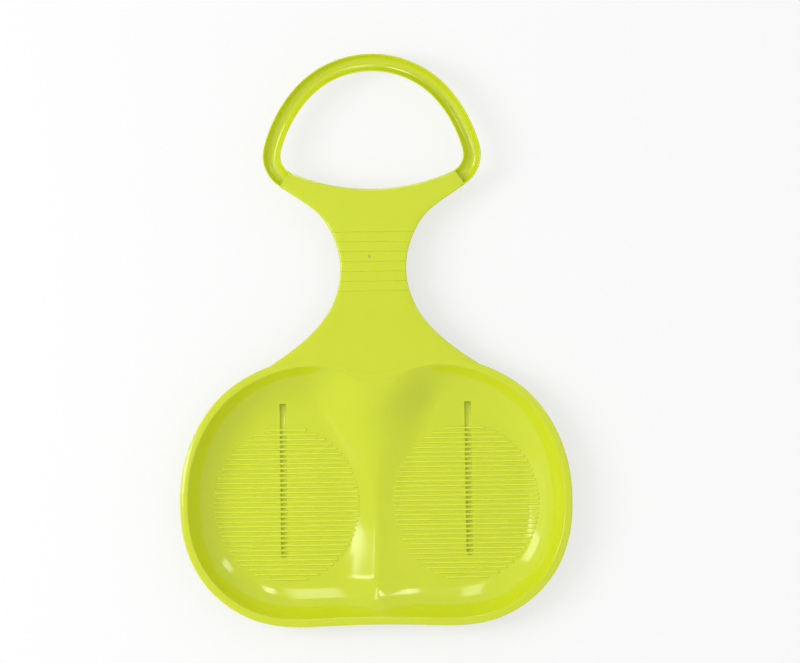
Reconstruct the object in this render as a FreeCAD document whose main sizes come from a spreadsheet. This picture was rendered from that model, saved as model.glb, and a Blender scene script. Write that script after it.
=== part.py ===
import FreeCAD, Part
import math
import os

import Sketcher

Vector = FreeCAD.Vector

# Frame: X across the seat, Y from the seat towards the handle, Z up.
# The origin lies under the middle of the whole length, on the ground that the runners stand on.

# Driving sizes, in millimetres, degrees for turns and headings, and plain counts.
DRIVING_SIZES = [
    # Whole object
    ("overall_length", 560.0, "rear edge of the seat to the top of the handle"),
    ("rim_height", 32.0, "ground to the top of the lip"),
    # Seat
    ("seat_width", 380.0, "across the lip at the widest place"),
    ("seat_length", 260.0, "rear edge to the front of the lip"),
    ("lip_width", 7.5, "flat lip round the seat"),
    ("collar_width", 2.5, "upright collar that joins the lip to the shell"),
    ("collar_height", 10.0, "the same, top of the lip down to its foot"),
    ("plate_thickness", 3.0, "lip and neck"),
    ("wall_thickness", 2.5, "dished shell"),
    ("side_wall_run", 40.0, "width that the side wall needs to reach the floor"),
    ("rear_wall_run", 42.0, "the same at the rear"),
    ("front_wall_run", 46.0, "the same at the front"),
    # Anti-slip ribs
    ("pad_from_rear", 120.0, "rear edge to the middle of a pad"),
    ("pad_length", 152.0, "ellipse that the ribs fill, front to rear"),
    ("rib_pitch", 4.7, "one rib to the next"),
    ("rib_width", 1.8, "one rib"),
    ("rib_height", 0.9, "one rib above the floor"),
    # Runners
    ("runner_spacing", 180.6, "between the two runners"),
    ("runner_from_rear", 143.5, "rear edge to the middle of a runner"),
    ("runner_length", 153.5, "one runner"),
    ("runner_drop", 3.0, "runner below the shell"),
    ("runner_wall", 2.0, "cheeks, ends and sole of the trough"),
    ("groove_width", 5.5, "open trough of a runner"),
    # Neck
    ("waist_width", 64.4, "narrowest place of the neck"),
    ("handle_length", 134.0, "top of the handle to the middle of the neck's front edge"),
    ("flex_count", 7.0, "flex lines across the neck"),
    ("flex_pitch", 9.7, "one flex line to the next"),
    ("flex_width", 1.2, "one flex line"),
    ("flex_depth", 0.4, "one flex line"),
    # Handle hoop, a half-round channel
    ("hoop_width", 17.5, "across the channel"),
    ("hoop_wall", 2.0, "wall of the channel and of its closed ends"),
    ("hoop_top_radius", 92.0, "middle line, top of the D"),
    ("hoop_flank_radius", 131.0, "middle line, flanks of the D"),
    ("hoop_corner_radius", 27.0, "middle line, lower corners of the D"),
    ("hoop_end_land", 1.3, "straight channel inside each closed end"),
    ("hoop_top_turn", 50.0, "half of the top arc, degrees"),
    ("hoop_flank_turn", 26.0, "one flank arc, degrees"),
    ("hoop_end_heading", 35.5, "middle line at the closed end, degrees above X"),
    # Making of the curved shell
    ("grid_step", 7.5, "spacing of the heights that the shell's faces are drawn through"),
    ("seam_count", 12.0, "short pieces that each seam beside the ridge is cut in"),
    ("cut_overrun", 10.0, "how far a cutter runs past what it cuts"),
]

# Half outline of the seat, rear middle to front middle: across as a share of the half width,
# along as a share of the seat's length.
SEAT_OUTLINE_SHARES = [
    (0.0, 0.0065), (0.263, 0.0024), (0.447, 0.0016), (0.605, 0.0225), (0.789, 0.097), (0.919, 0.209),
    (0.987, 0.348), (1.0, 0.45), (0.986, 0.583), (0.918, 0.732), (0.789, 0.863), (0.593, 0.957),
    (0.368, 1.0), (0.184, 0.984), (0.0, 0.942),
]
# Ridge between the hollows, front to rear: way along the hollow seat, width from foot to foot
# as a share of the seat's width, height as a share of the seat's depth.
RIDGE_SHARES = [
    (0.0, 0.37, 0.945), (0.08, 0.34, 0.84), (0.18, 0.288, 0.52), (0.3, 0.216, 0.29), (0.48, 0.168, 0.178),
    (0.6, 0.16, 0.155), (0.7, 0.196, 0.157), (0.8, 0.232, 0.17), (1.0, 0.26, 0.19),
]
# How full the ridge's cross-section and the walls' hollow curve are.
RIDGE_POWER = 1.5
WALL_POWER = 2.3
# Ellipse that the ribs fill: between the middles of both and across one, as shares of the seat's width.
PAD_SPACING_SHARE = 0.4605
PAD_WIDTH_SHARE = 0.3737
# Outside the lip's inner edge the wall goes on rising: how far as it began, as a share of its run,
# before it goes on straight.
WALL_OUTSIDE_SHARE = 0.5
# Places along the neck, as shares of the way from the seat's front to the neck's front edge.
WAIST_SHARE = 0.5
FLEX_MIDDLE_SHARE = 0.57
# Where the neck's side starts, just inside the lip, as shares of the seat's half width and length.
NECK_ROOT_SHARES = (0.621, 0.931)
# Side of the neck from the waist down to its root, and from the waist up to the handle's corner,
# as shares of the way across and along.
NECK_LOWER_SHARES = [(0.139, 0.374), (0.429, 0.655), (0.722, 0.842)]
NECK_UPPER_SHARES = [(0.142, 0.47), (0.375, 0.702), (0.637, 0.84)]


def make_sheet(doc):
    sheet = doc.addObject("Spreadsheet::Sheet", "Sizes")
    for row, (alias, value, note) in enumerate(DRIVING_SIZES, start=1):
        sheet.set("A%d" % row, alias)
        sheet.set("B%d" % row, str(value))
        sheet.set("C%d" % row, note)
        sheet.setAlias("B%d" % row, alias)
    doc.recompute()
    return {alias: float(sheet.get(alias)) for alias, value, note in DRIVING_SIZES}


def rear_edge(sizes):
    return -sizes["overall_length"] / 2


def mirror_x(point):
    return Vector(-point.x, point.y, point.z)


def spline_edge(points, **options):
    curve = Part.BSplineCurve()
    curve.interpolate(Points=points, **options)
    return curve.toShape()


def show(doc, name, shape):
    feature = doc.addObject("Part::Feature", name)
    feature.Shape = shape
    return feature


def extrude_up(doc, name, base, length):
    solid = doc.addObject("Part::Extrusion", name)
    solid.Base = base
    solid.DirMode = "Custom"
    solid.Dir = Vector(0, 0, 1)
    solid.Solid = True
    solid.setExpression("LengthFwd", length)
    return solid


def cut(doc, name, base, tool):
    result = doc.addObject("Part::Cut", name)
    result.Base = base
    result.Tool = tool
    return result


# Outline of the seat

def half_curve(points):
    """Smooth curve that leaves and meets the middle line square to it."""
    curve = Part.BSplineCurve()
    curve.interpolate(Points=points, InitialTangent=Vector(1, 0, 0), FinalTangent=Vector(-1, 0, 0))
    return curve


def outline_wire(sizes, inset, level):
    """The seat's outline moved inwards by the inset, from the rear middle anticlockwise."""
    half_width = sizes["seat_width"] / 2
    points = [Vector(across * half_width, rear_edge(sizes) + along * sizes["seat_length"], level)
              for across, along in SEAT_OUTLINE_SHARES]
    outline = half_curve(points)
    moved = []
    for point in points:
        along = outline.tangent(outline.parameter(point))[0]
        moved.append(point + Vector(-along.y, along.x, 0) * inset)
    curve = half_curve(moved)
    middle = (curve.FirstParameter + curve.LastParameter) / 2
    right = [curve.toShape(curve.FirstParameter, middle), curve.toShape(middle, curve.LastParameter)]
    left = [arc.mirror(Vector(0, 0, 0), Vector(1, 0, 0)) for arc in reversed(right)]
    return Part.Wire(right + left)


# Lip, with the collar that goes round the shell

def make_rim(doc, sizes):
    collar_foot = sizes["rim_height"] - sizes["collar_height"]
    lip_foot = sizes["rim_height"] - sizes["plate_thickness"]
    collar_inset = sizes["lip_width"] - sizes["collar_width"]
    outline = show(doc, "SeatOutline", outline_wire(sizes, 0, lip_foot))
    collar_outline = show(doc, "CollarOutline", outline_wire(sizes, collar_inset, collar_foot))
    edge = show(doc, "SeatEdge", outline_wire(sizes, sizes["lip_width"], collar_foot))
    disc = extrude_up(doc, "SeatDisc", outline, "Sizes.plate_thickness")
    blank = doc.addObject("Part::Fuse", "RimBlank")
    blank.Base = disc
    blank.Tool = extrude_up(doc, "CollarDisc", collar_outline, "Sizes.collar_height")
    lip = cut(doc, "RimLip", blank, extrude_up(doc, "SeatHole", edge, "Sizes.collar_height"))
    lip.Label = "rim_lip"
    return lip, disc


# Form of the dished shell

class SeatForm:
    """Height of the seat's top face, worked out from the distance to the lip's inner edge."""

    def __init__(self, sizes):
        self.sizes = sizes
        self.depth = sizes["rim_height"] - sizes["runner_drop"] - sizes["wall_thickness"]
        points = outline_wire(sizes, sizes["lip_width"], 0).discretize(Number=480)[:-1]
        self.edge = []
        for before, point, after in zip(points[-1:] + points[:-1], points, points[1:] + points[:1]):
            along = (after - before).normalize()
            self.edge.append((point.x, point.y, along.y, -along.x))
        on_middle = [y for x, y, out_x, out_y in self.edge if abs(x) < sizes["lip_width"]]
        self.front, self.rear = max(on_middle), min(on_middle)
        self.ridge = Part.BSplineCurve()
        self.ridge.interpolate(Points=[Vector(*station) for station in RIDGE_SHARES],
                               Parameters=[station[0] for station in RIDGE_SHARES])

    def wall_share(self, x, y):
        """0 at the lip's inner edge, 1 on the floor and less than 0 outside."""
        sizes = self.sizes
        edge_x, edge_y, out_x, out_y = min(self.edge, key=lambda e: (e[0] - x) ** 2 + (e[1] - y) ** 2)
        inside = (edge_x - x) * out_x + (edge_y - y) * out_y
        end_run = sizes["front_wall_run"] if out_y > 0 else sizes["rear_wall_run"]
        run = sizes["side_wall_run"] * out_x ** 2 + end_run * out_y ** 2
        way = min(inside / run, 1.0)
        straight = way + WALL_OUTSIDE_SHARE
        if straight > 0:
            return 1 - (1 - way) ** WALL_POWER
        steepest = 1 + WALL_OUTSIDE_SHARE
        return 1 - steepest ** WALL_POWER + WALL_POWER * steepest ** (WALL_POWER - 1) * straight

    def ridge_at(self, y):
        """Width of the ridge from foot to foot, and its height as a share of the seat's depth."""
        way = (self.front - y) / (self.front - self.rear)
        station = self.ridge.value(min(max(way, 0.0), 1.0))
        return station.y * self.sizes["seat_width"], station.z

    def ridge_share(self, x, y):
        """Height of the ridge at a place, as a share of the seat's depth."""
        foot, height = self.ridge_at(y)
        across = 2 * x / foot
        if abs(across) >= 1:
            return 0.0
        return height * (1 - across ** 2) ** RIDGE_POWER

    def height(self, x, y):
        drop = self.depth * self.wall_share(x, y) * (1 - self.ridge_share(x, y))
        return self.sizes["rim_height"] - drop

    def top(self, x, y):
        return Vector(x, y, self.height(x, y))

    def underside(self, x, y):
        """Height of the shell's lower face, one wall thickness behind the top face."""
        probe = self.sizes["wall_thickness"] / 4
        slope_x = (self.height(x + probe, y) - self.height(x - probe, y)) / (2 * probe)
        slope_y = (self.height(x, y + probe) - self.height(x, y - probe)) / (2 * probe)
        return self.height(x, y) - self.sizes["wall_thickness"] * math.sqrt(1 + slope_x ** 2 + slope_y ** 2)


# Dished shell with its two hollows and the ridge between them

def height_face(sizes, height):
    """Face over the whole seat and a little round it, through a square grid of heights."""
    margin = sizes["grid_step"]
    low_x = -sizes["seat_width"] / 2 - margin
    low_y = rear_edge(sizes) - margin
    width = sizes["seat_width"] + 2 * margin
    length = sizes["seat_length"] + 2 * margin
    across, along = int(width / sizes["grid_step"]) + 1, int(length / sizes["grid_step"]) + 1
    step_x, step_y = width / across, length / along
    heights = [[height(low_x + i * step_x, low_y + j * step_y) for j in range(along + 1)]
               for i in range(across + 1)]
    surface = Part.BSplineSurface()
    surface.interpolate(heights, low_x, step_x, low_y, step_y)
    return surface.toShape()


def ridge_zone(sizes, form):
    """Upright block over the ridge, from one foot to the other."""
    rear = rear_edge(sizes) - sizes["cut_overrun"]
    step = (sizes["seat_length"] + 2 * sizes["cut_overrun"]) / int(sizes["seam_count"])
    places = [rear + k * step for k in range(int(sizes["seam_count"]) + 1)]
    right = [Vector(form.ridge_at(y)[0] / 2, y, -sizes["cut_overrun"]) for y in places]
    left = [mirror_x(point) for point in reversed(right)]
    base = Part.Face(Part.makePolygon(right + left + right[:1]))
    return base.extrude(Vector(0, 0, sizes["rim_height"] + 4 * sizes["cut_overrun"]))


def make_seat(doc, sizes, form):
    """Left hollow, ridge and right hollow, cut from one shell along the ridge's feet."""
    reach = sizes["overall_length"]
    edge = Part.Face(outline_wire(sizes, sizes["lip_width"], -sizes["cut_overrun"]))
    block = edge.extrude(Vector(0, 0, sizes["rim_height"] + 2 * sizes["cut_overrun"]))
    above = height_face(sizes, form.height).extrude(Vector(0, 0, 2 * reach))
    below = height_face(sizes, form.underside).extrude(Vector(0, 0, -2 * reach))
    slots = [runner_slot(sizes, side) for side in (-1, 1)]
    shell = block.cut(above).cut(below).cut(slots)
    zone = ridge_zone(sizes, form)
    left, right = sorted(shell.cut(zone).Solids, key=lambda solid: solid.CenterOfMass.x)
    parts = []
    for name, label, shape in (("LeftHollow", "left_hollow", left), ("SeatRidge", "seat_ridge", shell.common(zone)),
                               ("RightHollow", "right_hollow", right)):
        part = show(doc, name, shape)
        part.Label = label
        parts.append(part)
    return parts


# Anti-slip ribs, which follow the floor and bridge the runners' troughs

def rib_side(sizes, form, low_x, high_x, y):
    """Outline of a rib's rear or front side, from the floor up to the rib's top."""
    spans = int(math.ceil((high_x - low_x) / sizes["grid_step"]))
    floor = [form.top(low_x + (high_x - low_x) * k / spans, y) for k in range(spans + 1)]
    crest = [point + Vector(0, 0, sizes["rib_height"]) for point in floor]
    return Part.Wire([spline_edge(floor), Part.LineSegment(floor[-1], crest[-1]).toShape(),
                      spline_edge(crest[::-1]), Part.LineSegment(crest[0], floor[0]).toShape()])


def make_seat_ribs(doc, sizes, form, side, label):
    half_width = PAD_WIDTH_SHARE * sizes["seat_width"] / 2
    half_length = sizes["pad_length"] / 2
    middle_x = side * PAD_SPACING_SHARE * sizes["seat_width"] / 2
    middle_y = rear_edge(sizes) + sizes["pad_from_rear"]
    rows = int(half_length / sizes["rib_pitch"] + 0.5)
    bars = []
    for row in range(-rows, rows):
        away = (row + 0.5) * sizes["rib_pitch"]
        half_chord = half_width * math.sqrt(1 - (away / half_length) ** 2)
        sides = [rib_side(sizes, form, middle_x - half_chord, middle_x + half_chord, middle_y + away + edge)
                 for edge in (-sizes["rib_width"] / 2, sizes["rib_width"] / 2)]
        bars.append(Part.makeLoft(sides, True, True))
    ribs = show(doc, label.title().replace("_", ""), Part.makeCompound(bars))
    ribs.Label = label
    return ribs


# Runners

def runner_slot(sizes, side):
    """Opening in the shell that a runner fills."""
    width = sizes["groove_width"] + 2 * sizes["runner_wall"]
    height = sizes["runner_drop"] + sizes["wall_thickness"] + 2 * sizes["cut_overrun"]
    corner = Vector(side * sizes["runner_spacing"] / 2 - width / 2,
                    rear_edge(sizes) + sizes["runner_from_rear"] - sizes["runner_length"] / 2,
                    -sizes["cut_overrun"])
    return Part.makeBox(width, sizes["runner_length"], height, corner)


def side_plane(body):
    return next(plane for plane in body.Origin.OriginFeatures if plane.Role == "YZ_Plane")


def sketch_on_side(body, name):
    sketch = body.newObject("Sketcher::SketchObject", name)
    sketch.AttachmentSupport = [(side_plane(body), "")]
    sketch.MapMode = "FlatFace"
    return sketch


def bind(sketch, constraint, name, expression):
    index = sketch.addConstraint(constraint)
    sketch.renameConstraint(index, name)
    sketch.setExpression("Constraints." + name, expression)


def runner_profile(body, sizes, name):
    """Side view of a runner: flat on top, with both lower corners turned up."""
    sketch = sketch_on_side(body, name)
    half = sizes["runner_length"] / 2
    height = sizes["runner_drop"] + sizes["wall_thickness"]
    nose = sizes["runner_drop"]
    up = Vector(0, 0, 1)
    front_arc = Part.ArcOfCircle(Part.Circle(Vector(half - nose, nose, 0), up, nose), -math.pi / 2, 0)
    rear_arc = Part.ArcOfCircle(Part.Circle(Vector(nose - half, nose, 0), up, nose), math.pi, 1.5 * math.pi)
    lid = sketch.addGeometry(Part.LineSegment(Vector(-half, height, 0), Vector(half, height, 0)))
    front = sketch.addGeometry(Part.LineSegment(Vector(half, height, 0), Vector(half, nose, 0)))
    front_nose = sketch.addGeometry(front_arc)
    sole = sketch.addGeometry(Part.LineSegment(Vector(half - nose, 0, 0), Vector(nose - half, 0, 0)))
    rear_nose = sketch.addGeometry(rear_arc)
    rear = sketch.addGeometry(Part.LineSegment(Vector(-half, nose, 0), Vector(-half, height, 0)))
    for constraint in (("Coincident", lid, 2, front, 1), ("Tangent", front, 2, front_nose, 2),
                       ("Tangent", front_nose, 1, sole, 1), ("Tangent", sole, 2, rear_nose, 2),
                       ("Tangent", rear_nose, 1, rear, 1), ("Coincident", rear, 2, lid, 1),
                       ("Horizontal", sole), ("Vertical", front), ("Vertical", rear),
                       ("PointOnObject", sole, 1, -1), ("Symmetric", lid, 1, lid, 2, -2),
                       ("Equal", front_nose, rear_nose)):
        sketch.addConstraint(Sketcher.Constraint(*constraint))
    bind(sketch, Sketcher.Constraint("DistanceX", lid, 1, lid, 2, 2 * half), "length", "Sizes.runner_length")
    bind(sketch, Sketcher.Constraint("DistanceY", -1, 1, lid, 2, height), "height",
         "Sizes.runner_drop + Sizes.wall_thickness")
    bind(sketch, Sketcher.Constraint("Radius", front_nose, nose), "nose", "Sizes.runner_drop")
    return sketch


def groove_profile(body, sizes, name):
    """Side view of the trough that is open at the top of a runner."""
    sketch = sketch_on_side(body, name)
    half = sizes["runner_length"] / 2 - sizes["runner_wall"]
    low = sizes["runner_wall"]
    high = sizes["runner_drop"] + sizes["wall_thickness"]
    corners = [Vector(-half, low, 0), Vector(half, low, 0), Vector(half, high, 0), Vector(-half, high, 0)]
    sides = [sketch.addGeometry(Part.LineSegment(a, b)) for a, b in zip(corners, corners[1:] + corners[:1])]
    for first, second in zip(sides, sides[1:] + sides[:1]):
        sketch.addConstraint(Sketcher.Constraint("Coincident", first, 2, second, 1))
    for index, direction in zip(sides[1:], ("Vertical", "Horizontal", "Vertical")):
        sketch.addConstraint(Sketcher.Constraint(direction, index))
    sketch.addConstraint(Sketcher.Constraint("Symmetric", sides[0], 1, sides[0], 2, -2))
    bind(sketch, Sketcher.Constraint("DistanceX", sides[0], 1, sides[0], 2, 2 * half), "length",
         "Sizes.runner_length - 2 * Sizes.runner_wall")
    bind(sketch, Sketcher.Constraint("DistanceY", -1, 1, sides[0], 1, low), "sole", "Sizes.runner_wall")
    bind(sketch, Sketcher.Constraint("DistanceY", sides[1], 1, sides[1], 2, high - low), "depth",
         "Sizes.runner_drop + Sizes.wall_thickness - Sizes.runner_wall")
    return sketch


def make_runner(doc, sizes, side, label):
    name = label.title().replace("_", "")
    body = doc.addObject("PartDesign::Body", name)
    body.Label = label
    keel = body.newObject("PartDesign::Pad", name + "Keel")
    keel.Profile = runner_profile(body, sizes, name + "Profile")
    keel.SideType = "Symmetric"
    keel.setExpression("Length", "Sizes.groove_width + 2 * Sizes.runner_wall")
    trough = body.newObject("PartDesign::Pocket", name + "Trough")
    trough.Profile = groove_profile(body, sizes, name + "Groove")
    trough.SideType = "Symmetric"
    trough.setExpression("Length", "Sizes.groove_width")
    body.setExpression("Placement.Base.x", "%d * Sizes.runner_spacing / 2" % side)
    body.setExpression("Placement.Base.y", "Sizes.runner_from_rear - Sizes.overall_length / 2")
    return body


# Middle line of the handle hoop

def hoop_headings(sizes):
    top = math.pi
    flank = top - math.radians(sizes["hoop_top_turn"])
    corner = flank - math.radians(sizes["hoop_flank_turn"])
    return math.radians(sizes["hoop_end_heading"]), corner, flank, top


def arc_step(radius, start_heading, end_heading):
    """How far a left-hand arc carries its end point."""
    return Vector(radius * (math.sin(end_heading) - math.sin(start_heading)),
                  radius * (math.cos(start_heading) - math.cos(end_heading)), 0)


def hoop_stations(sizes):
    """End, corner, flank and top points of the right half, with the heading at each."""
    end_heading, corner, flank, top = hoop_headings(sizes)
    top_point = Vector(0, sizes["overall_length"] / 2 - sizes["hoop_width"] / 2, sizes["rim_height"])
    flank_point = top_point - arc_step(sizes["hoop_top_radius"], flank, top)
    corner_point = flank_point - arc_step(sizes["hoop_flank_radius"], corner, flank)
    bend_point = corner_point - arc_step(sizes["hoop_corner_radius"], end_heading, corner)
    return [(bend_point, end_heading), (corner_point, corner), (flank_point, flank), (top_point, top)]


def hoop_path(sizes, end_run):
    stations = hoop_stations(sizes)
    radii = (sizes["hoop_corner_radius"], sizes["hoop_flank_radius"], sizes["hoop_top_radius"])
    bend_point, end_heading = stations[0]
    start = bend_point - Vector(math.cos(end_heading), math.sin(end_heading), 0) * end_run
    right = [(Part.LineSegment, (start, bend_point))]
    for radius, (a, heading_a), (b, heading_b) in zip(radii, stations[:-1], stations[1:]):
        middle = a + arc_step(radius, heading_a, (heading_a + heading_b) / 2)
        right.append((Part.Arc, (a, middle, b)))
    left = [(kind, [mirror_x(point) for point in reversed(points)]) for kind, points in reversed(right)]
    return Part.Wire([kind(*points).toShape() for kind, points in right + left]), start


def half_disc(centre, heading, radius):
    """Half-round section hanging below the middle line, square to it."""
    side = Vector(math.sin(heading), -math.cos(heading), 0) * radius
    lowest = centre - Vector(0, 0, radius)
    arc = Part.Arc(centre + side, lowest, centre - side).toShape()
    return Part.Wire([arc, Part.LineSegment(centre - side, centre + side).toShape()])


def sweep_half_round(doc, sizes, name, radius, end_run):
    path, start = hoop_path(sizes, end_run)
    section = half_disc(start, math.radians(sizes["hoop_end_heading"]), radius)
    path_feature = show(doc, name + "Path", path)
    section_feature = show(doc, name + "Section", section)
    sweep = doc.addObject("Part::Sweep", name)
    sweep.Sections = [section_feature]
    sweep.Spine = (path_feature, ["Edge%d" % (k + 1) for k in range(len(path.Edges))])
    sweep.Solid = True
    return sweep


def make_handle_hoop(doc, sizes):
    outer_radius = sizes["hoop_width"] / 2
    channel = sizes["hoop_end_land"]
    outer = sweep_half_round(doc, sizes, "HoopOuter", outer_radius, channel + sizes["hoop_wall"])
    inner = sweep_half_round(doc, sizes, "HoopInner", outer_radius - sizes["hoop_wall"], channel)
    hoop = cut(doc, "HandleHoop", outer, inner)
    hoop.Label = "handle_hoop"
    return hoop


# Neck

def neck_outline_wire(sizes, level):
    rear = rear_edge(sizes)
    heading = math.radians(sizes["hoop_end_heading"])
    end_run = sizes["hoop_end_land"] + sizes["hoop_wall"]
    seam = hoop_path(sizes, end_run)[1]
    to_side = Vector(math.sin(heading), -math.cos(heading), 0) * (sizes["hoop_width"] / 2)
    outer_corner = Vector(seam.x + to_side.x, seam.y + to_side.y, level)
    inner_corner = Vector(seam.x - to_side.x, seam.y - to_side.y, level)
    seat_front = rear + sizes["seat_length"]
    front = Vector(0, sizes["overall_length"] / 2 - sizes["handle_length"], level)
    waist = Vector(sizes["waist_width"] / 2, seat_front + (front.y - seat_front) * WAIST_SHARE, level)
    root = Vector(NECK_ROOT_SHARES[0] * sizes["seat_width"] / 2,
                  rear + NECK_ROOT_SHARES[1] * sizes["seat_length"], level)
    lower = [waist + Vector((root.x - waist.x) * across, (root.y - waist.y) * along, 0)
             for across, along in reversed(NECK_LOWER_SHARES)]
    upper = [waist + Vector((outer_corner.x - waist.x) * across, (outer_corner.y - waist.y) * along, 0)
             for across, along in NECK_UPPER_SHARES]
    side = [root] + lower + [waist] + upper + [outer_corner]
    right_side = spline_edge(side)
    left_side = spline_edge([mirror_x(point) for point in side])
    seam_right = Part.LineSegment(outer_corner, inner_corner).toShape()
    seam_left = Part.LineSegment(mirror_x(inner_corner), mirror_x(outer_corner)).toShape()
    front_edge = Part.Arc(inner_corner, front, mirror_x(inner_corner)).toShape()
    base = Part.LineSegment(mirror_x(root), root).toShape()
    return Part.Wire([right_side, seam_right, front_edge, seam_left, left_side, base])


def make_flex_line(doc, index):
    line = doc.addObject("Part::Box", "FlexLine%d" % (index + 1))
    line.setExpression("Length", "Sizes.seat_width")
    line.setExpression("Width", "Sizes.flex_width")
    line.setExpression("Height", "Sizes.flex_depth + Sizes.cut_overrun")
    line.setExpression("Placement.Base.x", "-Sizes.seat_width / 2")
    line.setExpression("Placement.Base.y", "Sizes.seat_length - Sizes.overall_length / 2"
                       " + (Sizes.overall_length - Sizes.seat_length - Sizes.handle_length) * %g"
                       " + (%d - (Sizes.flex_count - 1) / 2) * Sizes.flex_pitch - Sizes.flex_width / 2"
                       % (FLEX_MIDDLE_SHARE, index))
    line.setExpression("Placement.Base.z", "Sizes.rim_height - Sizes.flex_depth")
    return line


def make_neck_plate(doc, sizes, disc):
    underside = sizes["rim_height"] - sizes["plate_thickness"]
    outline = show(doc, "NeckOutline", neck_outline_wire(sizes, underside))
    blank = extrude_up(doc, "NeckBlank", outline, "Sizes.plate_thickness")
    trimmed = cut(doc, "NeckTrimmed", blank, disc)
    lines = doc.addObject("Part::Compound", "FlexLines")
    lines.Links = [make_flex_line(doc, index) for index in range(int(sizes["flex_count"]))]
    neck = cut(doc, "NeckPlate", trimmed, lines)
    neck.Label = "neck_plate"
    return neck


def check_document(doc, parts):
    for item in doc.Objects:
        if "Invalid" in item.State or "Error" in item.State:
            raise RuntimeError("%s: %s" % (item.Label, item.State))
    for part in parts:
        if part.Shape.isNull() or not part.Shape.isValid() or not part.Shape.Solids:
            raise RuntimeError("%s has no valid shape" % part.Label)


def main():
    doc = FreeCAD.newDocument("SlidePad")
    sizes = make_sheet(doc)
    form = SeatForm(sizes)
    lip, disc = make_rim(doc, sizes)
    parts = make_seat(doc, sizes, form) + [
        lip,
        make_neck_plate(doc, sizes, disc),
        make_handle_hoop(doc, sizes),
        make_seat_ribs(doc, sizes, form, -1, "left_seat_ribs"),
        make_seat_ribs(doc, sizes, form, 1, "right_seat_ribs"),
        make_runner(doc, sizes, -1, "left_runner"),
        make_runner(doc, sizes, 1, "right_runner"),
    ]
    doc.recompute()
    check_document(doc, parts)
    os.makedirs("parts", exist_ok=True)
    for part in parts:
        part.Shape.exportStep("parts/%s.step" % part.Label)
        box = part.Shape.BoundBox
        print("%-16s %3d solid(s) %9.1f mm3  x %.1f %.1f  y %.1f %.1f  z %.2f %.2f" % (
            part.Label, len(part.Shape.Solids), part.Shape.Volume,
            box.XMin, box.XMax, box.YMin, box.YMax, box.ZMin, box.ZMax))


main()
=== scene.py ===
import math

import bmesh
import bpy
import numpy as np
from mathutils import Matrix, Vector


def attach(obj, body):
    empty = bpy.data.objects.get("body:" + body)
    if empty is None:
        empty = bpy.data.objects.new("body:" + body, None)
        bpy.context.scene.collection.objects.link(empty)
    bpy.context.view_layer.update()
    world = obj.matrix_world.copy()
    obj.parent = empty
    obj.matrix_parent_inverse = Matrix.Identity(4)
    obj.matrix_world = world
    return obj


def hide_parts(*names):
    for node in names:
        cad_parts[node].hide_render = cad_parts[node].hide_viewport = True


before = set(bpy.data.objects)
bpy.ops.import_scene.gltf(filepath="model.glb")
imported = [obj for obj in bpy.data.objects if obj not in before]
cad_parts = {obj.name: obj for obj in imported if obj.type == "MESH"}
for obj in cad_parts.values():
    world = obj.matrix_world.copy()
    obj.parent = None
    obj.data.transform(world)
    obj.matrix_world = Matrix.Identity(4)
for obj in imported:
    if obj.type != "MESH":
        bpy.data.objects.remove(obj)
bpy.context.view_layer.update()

# Lengths are in millimetres up to the meshes, which are in metres.
MM = 0.001

# Whole object: RIM is the height of the lip, PLATE the thickness of lip and neck, WALL that of the shell
LENGTH = 560.0
RIM = 32.0
PLATE = 3.0
WALL = 2.5
REAR = -LENGTH / 2

# Seat: the walls' runs are measured inwards from the lip, and the outline's points are shares
# of half the width and of the length, from the rear middle
SEAT_WIDTH = 380.0
SEAT_LENGTH = 260.0
LIP = 7.5
COLLAR = 2.5
COLLAR_FOOT = 22.0
DEPTH = 26.5
SIDE_RUN = 40.0
REAR_RUN = 42.0
FRONT_RUN = 46.0
WALL_POWER = 2.3
INNER_ROUNDING = 0.3
OUTLINE_SHARES = [
    (0.0, 0.0065), (0.263, 0.0024), (0.447, 0.0016), (0.605, 0.0225), (0.789, 0.097), (0.919, 0.209),
    (0.987, 0.348), (1.0, 0.45), (0.986, 0.583), (0.918, 0.732), (0.789, 0.863), (0.593, 0.957),
    (0.368, 1.0), (0.184, 0.984), (0.0, 0.942),
]

# Ridge between the hollows, front to rear: way along the hollow seat, width from foot to foot
# as a share of the seat's width, height as a share of its depth
RIDGE_SHARES = [
    (0.0, 0.37, 0.975), (0.08, 0.34, 0.84), (0.18, 0.288, 0.52), (0.3, 0.216, 0.29), (0.48, 0.168, 0.178),
    (0.6, 0.16, 0.155), (0.7, 0.196, 0.157), (0.8, 0.232, 0.17), (1.0, 0.26, 0.19),
]
RIDGE_POWER = 2.4

# Rounding of the hollow-flanked ridge's crest, as a share of half its foot, and the shares of the way
# at which the flanks begin to turn hollow and over which they do so
CREST_SHARE = 0.1
HOLLOW_FROM_SHARE = 0.22
HOLLOW_OVER_SHARE = 0.3

# Ribbed fields: sunk ellipses of half width and half length, mirrored across the middle plane
FIELD_X = 87.5
FIELD_Y = -160.0
FIELD_WIDTH = 75.0
FIELD_LENGTH = 89.5
FIELD_SINK = 0.2
FIELD_CROWN = 0.1
FIELD_ROUNDING = 0.25
FIELD_BORDER_SHARE = 0.97
FIELD_BORDER_POWER = 1.5
RIB_HALF_WIDTH = 71.0
RIB_HALF_LENGTH = 76.0
RIB_PITCH = 4.7
RIB_WIDTH = 2.2
RIB_HEIGHT = 1.15
RIB_ROOT = 0.3
RIB_STEP = 4.0
RIB_END = 1.0
RIB_END_SHARE = 0.15
RIB_RISE_SHARES = (0.0, 0.4, 0.7, 0.9, 1.0)
RIB_SIDE_SHARES = (1.0, 0.88, 0.68, 0.4, 0.12)

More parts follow.
